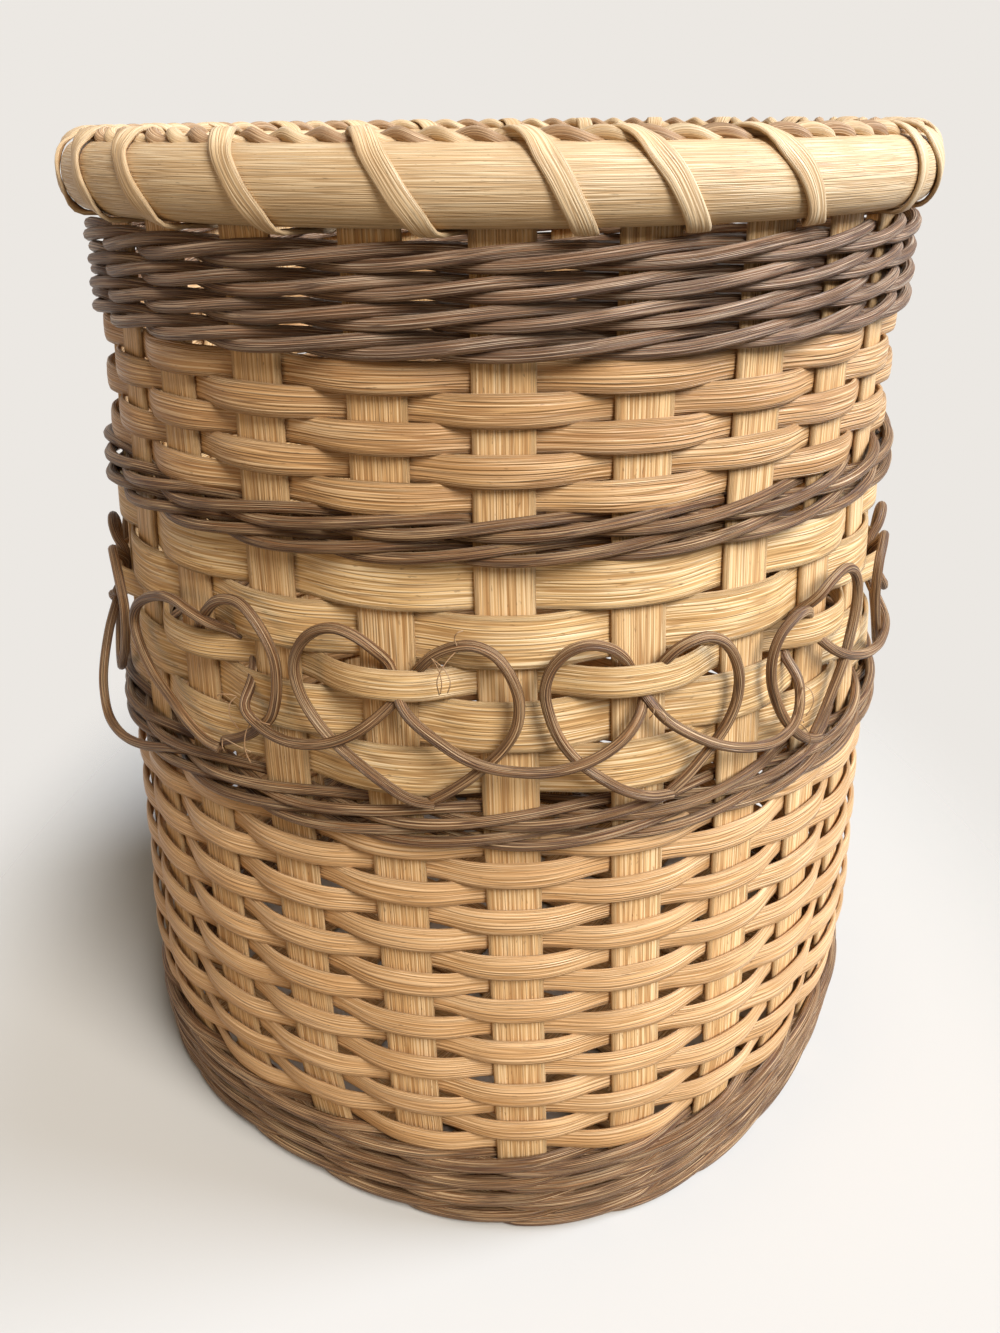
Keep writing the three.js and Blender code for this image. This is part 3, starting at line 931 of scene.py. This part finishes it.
FROM_4TH_TO_5TH = [
    (-7.6, 175.2, 7.6), (-10.2, 176.2, 8), (-12.8, 179.5, 8), (-16.3, 185.6, 8), (-19.8, 192.3, 8),
    (-22.3, 199.2, 8), (-23.9, 206.3, 8), (-24.4, 213.7, 8), (-23.4, 220.4, 8), (-21.4, 225.1, 8),
    (-19, 226.9, 8), (-16.8, 225.3, 7.2), (-14.9, 221.3, 5.4), (-13.4, 215.9, TUCKED),
    (-12.6, 210.5, TUCKED), (-11.4, 205.2, CROSSED), (-9.7, 200.6, 7.6), (-6.8, 195.6, 8.8),
    (-3.9, 191.3, 9.6), (-0.4, 188.4, 10), (4.4, 187.1, 10), (8.2, 188.3, 10), (11.4, 191, 9.6),
    (14.2, 195.3, 8.6), (16.2, 200.5, 6.4), (17.4, 205, TUCKED), (18.3, 210, TUCKED),
    (19.2, 214.8, 5.2), (20.6, 218.9, 7), (22.6, 221.2, 8), (24.6, 221.2, 8), (26.6, 218.6, 8),
    (28.1, 213.7, 8), (29, 206.8, 8), (28.8, 199.4, 8), (27.9, 193.4, 7.6), (26.5, 188.2, 7.2),
    (24.4, 182.8, 7), (21.9, 177.2, 7), (19.6, 173.2, 7),
]
FROM_5TH_TO_6TH = [
    (20.2, 173.6, 7.6), (17.4, 174.4, 8), (14.3, 177.6, 8), (11.3, 182.9, 8), (8.6, 189, 8),
    (6.6, 196, 8), (5.4, 203.7, 8), (4.9, 211.2, 8), (5.7, 217.9, 8), (7.5, 222.3, 8),
    (9.8, 223.9, 8), (12.2, 222.1, 7.2), (14, 218.4, 5.4), (15.4, 213.6, TUCKED),
    (16.4, 208.6, TUCKED), (17.6, 203.3, CROSSED), (19.4, 197.7, 7.6), (22.3, 192.3, 8.8),
    (25.8, 187.4, 9.6), (29.5, 184, 10), (33.5, 182, 10), (36.3, 182.9, 10), (38.4, 186, 9.6),
    (39.5, 191.4, 8.6), (39.9, 198, 6.4), (39.9, 204, 1), (40.4, 210, -1.8), (41.4, 216, 1.6),
    (43, 221.8, 6.8), (45.4, 226, 8), (48.5, 227.6, 8), (51.2, 225.4, 8), (52.9, 220, 8),
    (53.1, 213, 8), (51.9, 204.3, 8), (50.1, 195.6, 8), (48.2, 186.9, 7.2), (46.1, 180, 7),
    (43.7, 173.8, 7),
]
LEFT_OF_6TH = [
    (45, 173, 7.6), (42.6, 175, 8), (39.9, 179.1, 8), (37.1, 186.4, 8), (35.2, 194.6, 8),
    (34.2, 202.2, 8), (34.3, 209.6, 8), (35.5, 215.5, 8), (37.8, 219.2, 8), (40.4, 219.6, 7.2),
    (42.6, 216.4, 4.8), (44, 211, TUCKED), (45.4, 205.5, CROSSED), (48.5, 199.8, 8),
    (52.8, 195.2, 9.2), (58.1, 191.9, 10), (64, 190.4, 10), (69.5, 193, 9),
]


def read_places(places):
    """Those places as points on the wall. Their degrees already hold the lean of the stakes."""
    angles, rises, outs = np.array(places, dtype=float).T
    angles = (angles + CAMERA_SIDE) % 360
    return wall_points(angles - lean(angles, rises), rises, outs)


# %% Bend the twelve curls
def free_places(heart, places):
    """Places of a curl that the picture doesn't show: from its heart, and from the weaver up."""
    angles, rises, outs = np.array(places).T
    return wall_points(stake_angle(1) + heart * HEART_SPACING + angles, narrow_low + rises, outs)


hearts = []
for _ in range(HEART_COUNT):
    width, height = random.uniform(12, 13.2), random.uniform(16.5, 18.5)
    hearts.append((random.uniform(-1.2, 1.2), width, height, 2.5, random.uniform(30.5, 31.5)))
whole_curls = {8: FROM_3RD_TO_4TH, 9: FROM_4TH_TO_5TH, 10: FROM_5TH_TO_6TH}
for heart in range(HEART_COUNT):
    turn, width, height, tip_turn, tip_drop = hearts[heart]
    left = left_lobe(turn, width, height, tip_turn, tip_drop)
    next_turn, width, height, tip_turn, tip_drop = hearts[(heart + 1) % HEART_COUNT]
    onward = next_turn + HEART_SPACING
    right = right_lobe(onward, width, height - 1, tip_turn, tip_drop)
    middle = swag(turn, onward, random.uniform(-20, -17.5))
    # Curls 7 to 11 show in the picture. The first comes from out of sight and the last goes there.
    if heart == 7:
        hidden = free_places(heart, left[:-1])
        lengths = [np.concatenate([hidden, read_places(LOOSE_SWAG)]), read_places(RIGHT_OF_3RD)]
    elif heart in whole_curls:
        lengths = [read_places(whole_curls[heart])]
    elif heart == 11:
        hidden = free_places(heart, right[1:])
        lengths = [np.concatenate([read_places(LEFT_OF_6TH), hidden])]
    else:
        lengths = [free_places(heart, [*left, *middle, *right])]
    bm = bmesh.new()
    for stops in lengths:
        path, length = smooth_curve(stops, 170)
        place = carry_outline(path, outward(path))
        bend_reed(bm, 170, 10, length, round_outline(CURL), place, closed=False)
    name = f"heart_curl_{heart + 1:02d}"
    finish_piece(bm, f"rod_{name}", brown_reed, "brown_reed", name)
print(HEART_COUNT, "curls, the last one", round(float(length)), "mm long")

# %% [markdown]
# ## Rim
#
# The stakes end between two bands. Both are half-round reed, flat against the stakes and domed on
# the other side. A cord of two twisted strands fills the groove on top, and a narrow reed is wound
# round everything, once for each stake, and pulled tight.

# %% Rim bands
NECK = float(wall_radius(0, RIM_TOP))
BAND_SEAM = 127.5


def band_outline(width, thickness, front, edge=1.2):
    """Half-round: flat on one side, domed on the other, with an edge so thick at top and bottom.

    Front is 1 where the dome looks outwards, and -1 where it looks inwards."""

    def outline(y, z):
        z = z * front
        dome = -thickness / 2 + edge + (thickness - edge) * np.maximum(z, 0) ** 0.85
        depth = np.where(z >= -1e-6, dome, -thickness / 2)
        return y * width / 2, depth * front

    return outline


def rim_band(node, inside, outside, front):
    low, high = heights(node)
    wave = wander(0.25)

    def place(along, across, depth):
        angle = BAND_SEAM + 360 * along
        middle = (low + high) / 2 + wave(angle)
        return wall_points(angle, middle + across, (inside + outside) / 2 - NECK + depth)

    bm = bmesh.new()
    outline = band_outline(high - low, outside - inside, front)
    bend_reed(bm, 240, 28, 2 * math.pi * outside, outline, place, closed=True)
    finish_piece(bm, f"reed_{node}", rim_reed, "pale_reed", node)


rim_band("rim_band_outer", NECK + 1.4, NECK + 10.9, 1)
rim_band("rim_band_inner", NECK - 7.2, NECK - 1.3, -1)

# %% Filler cord
FILLER_TURNS = 44
FILLER_LENGTH = 900
FILLER_RISE, FILLER_OUT = 0.3, 0.6


def strand_outline(y, z):
    return y * 1.9, z * 2.4


for strand, reed in enumerate((rim_reed, cord_reed)):

    def place(along, across, depth):
        angle = 360 * along
        twist = np.radians(180 * strand - angle * FILLER_TURNS)
        height = RIM_TOP + FILLER_RISE + 1.3 * np.sin(twist)
        return wall_points(angle, height + across, FILLER_OUT + 2.1 * np.cos(twist) + depth)

    bm = bmesh.new()
    bend_reed(bm, FILLER_TURNS * 14, 8, FILLER_LENGTH, strand_outline, place, closed=True)
    finish_piece(bm, f"cord_rim_filler_{strand + 1}", reed, "pale_reed", "rim_filler")

# %% [markdown]
# The lashing is one path. One turn of it is a list of places: degrees on from the start of the
# turn, how far out, and how high. It goes up the outer band, over the cord and down the inner
# band. Each turn is shifted a little. The turns that the camera sees, numbers 8 to 15, have their
# shift and slant from the picture. On its way back a turn moves over to the shift of the next.

# %% Lashing
RIM_MIDDLE = (RIM_TOP + RIM_BOTTOM) / 2
LASHING_START = 118.4
LASHING_STEPS = STAKE_COUNT * 36
FRONT_END, BACK_START, BACK_RUN = 6.2, 8, 7  # degrees of one turn
lashing_turn = [
    (0.0, 7.0, RIM_BOTTOM - 0.5),
    (-1.1, 9.9, RIM_BOTTOM + 3.0),
    (-2.4, 11.6, RIM_MIDDLE - 2),
    (-3.7, 11.5, RIM_MIDDLE + 3),
    (-5.1, 9.6, RIM_TOP - 2.2),
    (-6.2, 6.2, RIM_TOP + 1.2),
    (-7.3, 1.6, RIM_TOP + 2.9),
    (-8.3, -3.2, RIM_TOP + 2.0),
    (-9.2, -6.8, RIM_TOP - 1.6),
    (-10.4, -8.4, RIM_MIDDLE),
    (-11.8, -7.0, RIM_BOTTOM + 1.0),
    (-13.0, -3.5, RIM_BOTTOM - 0.6),
    (-14.2, 2.5, RIM_BOTTOM - 0.9),
]
wrap_shift = [random.uniform(-1.3, 1.3) for _ in range(STAKE_COUNT)]
wrap_shift[8:16] = [3.8, -2.5, -2.2, 1.7, 1.5, 0.0, -0.6, -0.4]
wrap_slant = [1.0] * STAKE_COUNT
wrap_slant[8:14] = [0.15, 1.1, 0.95, 0.75, 1.0, 0.85]
stops = []
for wrap in range(STAKE_COUNT + 1):
    here = wrap_shift[wrap % STAKE_COUNT]
    onward = wrap_shift[(wrap + 1) % STAKE_COUNT]
    for turned, out, height in lashing_turn if wrap < STAKE_COUNT else lashing_turn[:1]:
        share = max(0, (-turned - BACK_START) / BACK_RUN)
        shift = here + (onward - here) * share
        shift += (wrap_slant[wrap % STAKE_COUNT] - 1) * max(turned, -FRONT_END) * (1 - share)
        stops.append((LASHING_START - wrap * STAKE_SPACING + turned + shift, height, out))
angles, rises, outs = np.array(stops).T
path, length = smooth_curve(wall_points(angles, rises, outs), LASHING_STEPS, closed=True)
# The upper side of the reed looks away from the middle of the rim's section
out = ((np.hypot(path[:, 0], path[:, 1]) - NECK - 1.5) / 10)[:, None]
up = ((path[:, 2] - RIM_MIDDLE) / 12.5)[:, None]
upper = unit(outward(path) * out**3 + np.array([0, 0, 1]) * up**3)
place = carry_outline(path, upper, closed=True)
bm = bmesh.new()
bend_reed(bm, LASHING_STEPS, 12, length, flat_outline(6.2, 1.3, 0.55), place, closed=True)
finish_piece(bm, "reed_rim_lashing", rim_reed, "pale_reed", "rim_lashing")
print("lashing", round(float(length)), "mm long")

# %% [markdown]
# ## Frayed fibres
#
# Round reed sheds thin hairs where it is bent hard. A few stand off the curls, two at each of some
# places of the hearts. Each is a reed like the others, only as thin as a hair and with few sides.

# %% Frayed fibres
FRAYED = [(-4.5, 224), (-7.5, 221), (38, 186), (40, 196)]
FRAYED += [(-33, 199), (-31, 192), (-36, 183), (17, 203)]
HAIR = 0.34
bm = bmesh.new()
for angle, height in FRAYED:
    for _ in range(2):
        side, rise, bend = [random.uniform(-1, 1) for _ in range(3)]
        stops = [
            (angle, height, 8.6),
            (angle + 1.6 * side, height + 4 * rise, 10.4),
            (angle + 3.4 * side + bend, height + 8 * rise - 1.5, 11.4),
            (angle + 3.9 * side + 2 * bend, height + 11 * rise - 4, 10.2),
        ]
        path, length = smooth_curve(read_places(stops), 24)
        place = carry_outline(path, outward(path))
        bend_reed(bm, 24, 5, length, round_outline(HAIR), place, closed=False)
finish_piece(bm, "hairs_frayed_fibres", cord_reed, "brown_reed")
print(2 * len(FRAYED), "frayed hairs")

# %% [markdown]
# ## Stage, light and camera
#
# The floor fades into the backdrop, further out behind the basket than at its sides. It looks
# pale, but the light that bounces off it is warm and weak, as in the picture. In the same way the
# backdrop is pale to look at, and the sky that lights the reed is dim and warm. Three soft suns do
# the rest: a window at the front right, a cool sun at the side, and a weak warm one at the left.
# The camera stands where the photographer stood: a little above the rim, close to the basket.


# %% What a ray sees
def seen_by(tree):
    """1 for a ray that shows its target in the picture, 0 for one that only gathers light."""
    ray = tree.nodes.new("ShaderNodeLightPath")
    seen = math_node(tree, "MAXIMUM", ray.outputs["Is Camera Ray"], ray.outputs["Is Glossy Ray"])
    return math_node(tree, "MAXIMUM", seen, ray.outputs["Is Transmission Ray"])


def mix_shaders(tree, factor, a, b, output):
    """Mixes two shaders and sends the result to the surface of an output node."""
    mix = tree.nodes.new("ShaderNodeMixShader")
    fill(tree, mix, {0: factor, 1: a.outputs[0], 2: b.outputs[0]})
    tree.links.new(mix.outputs[0], tree.nodes[output].inputs["Surface"])


# %% Floor
FLOOR_LIGHT = (0.21, 0.15, 0.085, 1)
FLOOR_LOOK = (0.60, 0.57, 0.51, 1)
FADE_FROM, FADE_TO = 0.20, 0.34  # metres from the middle
FADE_STRETCH = (1.6, 0.92, 1)  # along the view, across it, and upwards
paper = bpy.data.materials.new("floor paper")
paper.use_nodes = True
tree = paper.node_tree
shader = tree.nodes["Principled BSDF"]
colour = mix_colour(tree, seen_by(tree), FLOOR_LIGHT, FLOOR_LOOK)
fill(tree, shader, {"Base Color": colour, "Roughness": 0.9, "Specular IOR Level": 0.1})
where = tree.nodes.new("ShaderNodeTexCoord").outputs["Object"]
turned = (0, 0, math.radians(CAMERA_SIDE))
along_view = tree.nodes.new("ShaderNodeMapping")
along_view.vector_type = "TEXTURE"
fill(tree, along_view, {"Vector": where, "Rotation": turned, "Scale": FADE_STRETCH})
away = tree.nodes.new("ShaderNodeVectorMath")
away.operation = "LENGTH"
fill(tree, away, {0: along_view.outputs["Vector"]})
fade = range_node(tree, away.outputs["Value"], FADE_FROM, FADE_TO)
clear = tree.nodes.new("ShaderNodeBsdfTransparent")
mix_shaders(tree, fade, shader, clear, "Material Output")
bm = bmesh.new()
bmesh.ops.create_grid(bm, x_segments=1, y_segments=1, size=3)
floor = add_object(bm, "floor", paper)

# %% World and suns
scene = bpy.context.scene
scene.view_settings.view_transform = "Standard"
world = bpy.data.worlds.new("studio")
scene.world = world
world.use_nodes = True
tree = world.node_tree
sky, backdrop = tree.nodes["Background"], tree.nodes.new("ShaderNodeBackground")
fill(tree, sky, {"Color": (1.0, 0.93, 0.84, 1), "Strength": 0.18})
fill(tree, backdrop, {"Color": (0.838, 0.807, 0.768, 1)})
mix_shaders(tree, seen_by(tree), sky, backdrop, "World Output")


def add_sun(name, towards, strength, spread, colour):
    """A sun that shines from the direction towards."""
    data = bpy.data.lights.new(name, "SUN")
    data.energy = strength
    data.angle = math.radians(spread)
    data.color = colour
    lamp = bpy.data.objects.new(name, data)
    lamp.rotation_mode = "QUATERNION"
    lamp.rotation_quaternion = Vector(towards).to_track_quat("Z", "Y")
    scene.collection.objects.link(lamp)


def from_camera(right, height):
    """A direction so many degrees to the camera's right, and so many up."""
    turn = math.radians(right + CAMERA_SIDE)
    return math.cos(turn), math.sin(turn), math.tan(math.radians(height))


add_sun("window", from_camera(37, 42), 4.15, 30, (1.0, 0.99, 1.0))
add_sun("side", from_camera(92, 32), 3.1, 32, (0.88, 1.02, 1.28))
add_sun("warm", from_camera(-60, 8), 0.42, 30, (1.0, 0.60, 0.22))

# %% Camera
CAMERA_PLACE = (0.2560, -0.3524, 0.3599)
FACING, PITCH, ROLL = math.radians(90 + CAMERA_SIDE), math.radians(25.76), math.radians(-0.55)
FOCAL_LENGTH, PICTURE_HEIGHT = 1188, 1333  # in pixels of the photo
SENSOR = 36
camera = bpy.data.objects.new("camera", bpy.data.cameras.new("camera"))
camera.data.sensor_width = SENSOR
camera.data.lens = FOCAL_LENGTH * SENSOR / PICTURE_HEIGHT
camera.data.clip_start = 0.01
scene.collection.objects.link(camera)
scene.camera = camera
turn = Matrix.Rotation(FACING, 4, "Z") @ Matrix.Rotation(math.pi / 2 - PITCH, 4, "X")
turn = turn @ Matrix.Rotation(ROLL, 4, "Z")
camera.matrix_world = Matrix.Translation(CAMERA_PLACE) @ turn
